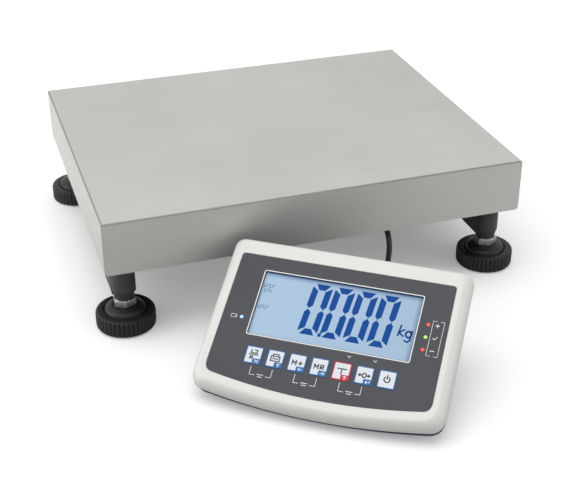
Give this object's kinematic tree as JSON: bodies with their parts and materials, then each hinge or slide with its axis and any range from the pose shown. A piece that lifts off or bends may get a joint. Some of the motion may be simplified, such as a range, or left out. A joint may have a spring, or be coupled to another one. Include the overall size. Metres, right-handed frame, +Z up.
{
  "type": "bench scale",
  "caption": "Stainless bench scale platform on levelling feet, with a separate tilted desk-top display joined to it by a cable.",
  "frame": {"origin": "middle of the whole footprint without the cable, on the bench", "axes": "+Z up, +X along the plate's long side to the right, +Y away from the user, from the display to the platform"},
  "size_m": [0.5212, 0.6876, 0.147],
  "materials": {
    "stainless": "brushed",
    "frame_paint": "satin powder coat",
    "black_plastic": "semi-matt",
    "zinc": "zinc plated",
    "rubber": "matt",
    "aluminium": "milled",
    "cable": "matt",
    "white_plastic": "fine texture",
    "navy_plastic": "fine texture",
    "panel_film": "satin film",
    "screen": "glossy",
    "key_blue": "satin",
    "key_red": "satin",
    "lamp": "glossy",
    "board": "solder mask",
    "battery": "wrapped",
    "vial": "clear"
  },
  "bodies": {
    "base": {"base_rail_left": "frame_paint", "base_rail_right": "frame_paint", "base_crossbar_front": "frame_paint", "base_crossbar_rear": "frame_paint", "base_centre_beam": "frame_paint", "load_cell": "aluminium", "load_cell_lower_spacer": "zinc", "load_cell_lower_bolts": "zinc", "overload_stop_front_left": "zinc", "overload_stop_front_right": "zinc", "overload_stop_rear_left": "zinc", "overload_stop_rear_right": "zinc", "bubble_level": "vial", "cable_gland": "black_plastic", "cable_platform_run": "cable", "cable_coil": "cable", "cable_display_run": "cable"},
    "carrier": {"carrier_beam_left": "frame_paint", "carrier_beam_right": "frame_paint", "carrier_deck": "frame_paint", "load_cell_upper_spacer": "zinc", "load_cell_upper_bolts": "zinc", "plate_bumper_front_left": "rubber", "plate_bumper_front_right": "rubber", "plate_bumper_rear_left": "rubber", "plate_bumper_rear_right": "rubber"},
    "plate": {"weighing_plate": "stainless"},
    "display": {"display_top_shell": "white_plastic", "display_bottom_shell": "navy_plastic", "face_panel": "panel_film", "lcd_screen": "screen", "tolerance_lamps": "lamp", "charge_lamp": "lamp", "circuit_board": "board", "battery": "battery", "cable_plug": "black_plastic", "power_inlet": "black_plastic", "stand_hinge_pin": "zinc", "display_front_pad": "rubber"},
    "stand": {"desk_stand": "frame_paint"},
    "lock_nut_front_left": {"lock_nut_front_left": "zinc"},
    "foot_front_left": {"foot_disc_front_left": "black_plastic", "foot_stud_front_left": "zinc"},
    "lock_nut_front_right": {"lock_nut_front_right": "zinc"},
    "foot_front_right": {"foot_disc_front_right": "black_plastic", "foot_stud_front_right": "zinc"},
    "lock_nut_rear_left": {"lock_nut_rear_left": "zinc"},
    "foot_rear_left": {"foot_disc_rear_left": "black_plastic", "foot_stud_rear_left": "zinc"},
    "lock_nut_rear_right": {"lock_nut_rear_right": "zinc"},
    "foot_rear_right": {"foot_disc_rear_right": "black_plastic", "foot_stud_rear_right": "zinc"},
    "key_1": {"key_1": "key_blue"},
    "key_2": {"key_2": "key_blue"},
    "key_3": {"key_3": "key_blue"},
    "key_4": {"key_4": "key_blue"},
    "key_5": {"key_5": "key_red"},
    "key_6": {"key_6": "key_blue"},
    "key_7": {"key_7": "key_blue"}
  },
  "joints": [
    {"name": "carrier_deflection", "type": "slide", "parent": "base", "child": "carrier", "axis": [0, 0, -1], "range_m": [0, 0.0005], "stiffness_N_per_m": 1200000, "springref_m": -0.0001, "deforming": ["load_cell"]},
    {"name": "plate_lift", "type": "slide", "parent": "carrier", "child": "plate", "axis": [0, 0, 1], "range_m": [0, 0.1]},
    {"name": "display_lift", "type": "slide", "parent": "base", "child": "display", "axis": [0, 0, 1], "range_m": [0, 0.06]},
    {"name": "stand_fold", "type": "hinge", "parent": "display", "child": "stand", "pos_m": [0.00474, -0.14846, 0.06411], "axis": [-0.807, 0.5906, 0], "range_deg": [0, 62]},
    {"name": "foot_front_left_height", "type": "slide", "parent": "base", "child": "lock_nut_front_left", "axis": [0, 0, -1], "range_m": [0, 0.01]},
    {"name": "foot_front_left_screw", "type": "hinge", "parent": "lock_nut_front_left", "child": "foot_front_left", "pos_m": [-0.2263, -0.02866, 0.01], "axis": [0, 0, -1], "range_deg": [0, 1800]},
    {"name": "foot_front_right_height", "type": "slide", "parent": "base", "child": "lock_nut_front_right", "axis": [0, 0, -1], "range_m": [0, 0.01]},
    {"name": "foot_front_right_screw", "type": "hinge", "parent": "lock_nut_front_right", "child": "foot_front_right", "pos_m": [0.2263, -0.02866, 0.01], "axis": [0, 0, -1], "range_deg": [0, 1800]},
    {"name": "foot_rear_left_height", "type": "slide", "parent": "base", "child": "lock_nut_rear_left", "axis": [0, 0, -1], "range_m": [0, 0.01]},
    {"name": "foot_rear_left_screw", "type": "hinge", "parent": "lock_nut_rear_left", "child": "foot_rear_left", "pos_m": [-0.2263, 0.30954, 0.01], "axis": [0, 0, -1], "range_deg": [0, 1800]},
    {"name": "foot_rear_right_height", "type": "slide", "parent": "base", "child": "lock_nut_rear_right", "axis": [0, 0, -1], "range_m": [0, 0.01]},
    {"name": "foot_rear_right_screw", "type": "hinge", "parent": "lock_nut_rear_right", "child": "foot_rear_right", "pos_m": [0.2263, 0.30954, 0.01], "axis": [0, 0, -1], "range_deg": [0, 1800]},
    {"name": "key_1_press", "type": "slide", "parent": "display", "child": "key_1", "axis": [0.3095, 0.4228, -0.8517], "range_m": [0, 0.0005], "stiffness_N_per_m": 3000, "springref_m": -0.0001},
    {"name": "key_2_press", "type": "slide", "parent": "display", "child": "key_2", "axis": [0.3095, 0.4228, -0.8517], "range_m": [0, 0.0005], "stiffness_N_per_m": 3000, "springref_m": -0.0001},
    {"name": "key_3_press", "type": "slide", "parent": "display", "child": "key_3", "axis": [0.3095, 0.4228, -0.8517], "range_m": [0, 0.0005], "stiffness_N_per_m": 3000, "springref_m": -0.0001},
    {"name": "key_4_press", "type": "slide", "parent": "display", "child": "key_4", "axis": [0.3095, 0.4228, -0.8517], "range_m": [0, 0.0005], "stiffness_N_per_m": 3000, "springref_m": -0.0001},
    {"name": "key_5_press", "type": "slide", "parent": "display", "child": "key_5", "axis": [0.3095, 0.4228, -0.8517], "range_m": [0, 0.0005], "stiffness_N_per_m": 3000, "springref_m": -0.0001},
    {"name": "key_6_press", "type": "slide", "parent": "display", "child": "key_6", "axis": [0.3095, 0.4228, -0.8517], "range_m": [0, 0.0005], "stiffness_N_per_m": 3000, "springref_m": -0.0001},
    {"name": "key_7_press", "type": "slide", "parent": "display", "child": "key_7", "axis": [0.3095, 0.4228, -0.8517], "range_m": [0, 0.0005], "stiffness_N_per_m": 3000, "springref_m": -0.0001}
  ],
  "couplings": [
    {"joint": "foot_front_left_height", "follows": "foot_front_left_screw", "m_per_rad": 0.00031831},
    {"joint": "foot_front_right_height", "follows": "foot_front_right_screw", "m_per_rad": 0.00031831},
    {"joint": "foot_rear_left_height", "follows": "foot_rear_left_screw", "m_per_rad": 0.00031831},
    {"joint": "foot_rear_right_height", "follows": "foot_rear_right_screw", "m_per_rad": 0.00031831}
  ]
}
